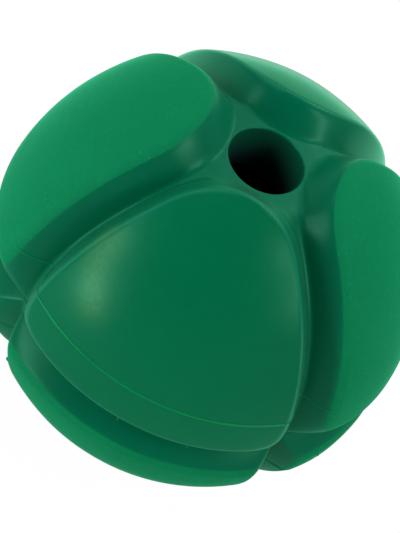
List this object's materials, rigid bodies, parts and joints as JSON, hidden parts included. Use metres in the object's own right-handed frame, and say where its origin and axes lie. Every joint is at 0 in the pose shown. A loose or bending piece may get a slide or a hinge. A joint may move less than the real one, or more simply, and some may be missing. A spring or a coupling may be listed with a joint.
{
  "type": "treat dispensing ball",
  "caption": "Hollow rubber treat ball with raised rounded pads between crossing grooves, a round treat hole where grooves cross, and moulded halves cemented at the middle.",
  "frame": {"origin": "centre of the ball, on the plane where the two halves are cemented", "axes": "+Z along the treat hole, out of its mouth; +X and +Y through the other groove crossings, which lie in the level groove; the pad between -X, -Y and +Z is a satin one"},
  "size_m": [0.0872, 0.0872, 0.0848],
  "materials": {
    "green_rubber": "moulded green rubber, fine matt on the pads apart from two satin ones in the upper half, satin in the grooves",
    "rubber_cement": "cured rubber cement of the same green, satin"
  },
  "bodies": {
    "root": {"upper_shell": "green_rubber", "lower_shell": "green_rubber", "cement_film": "rubber_cement"}
  },
  "joints": []
}
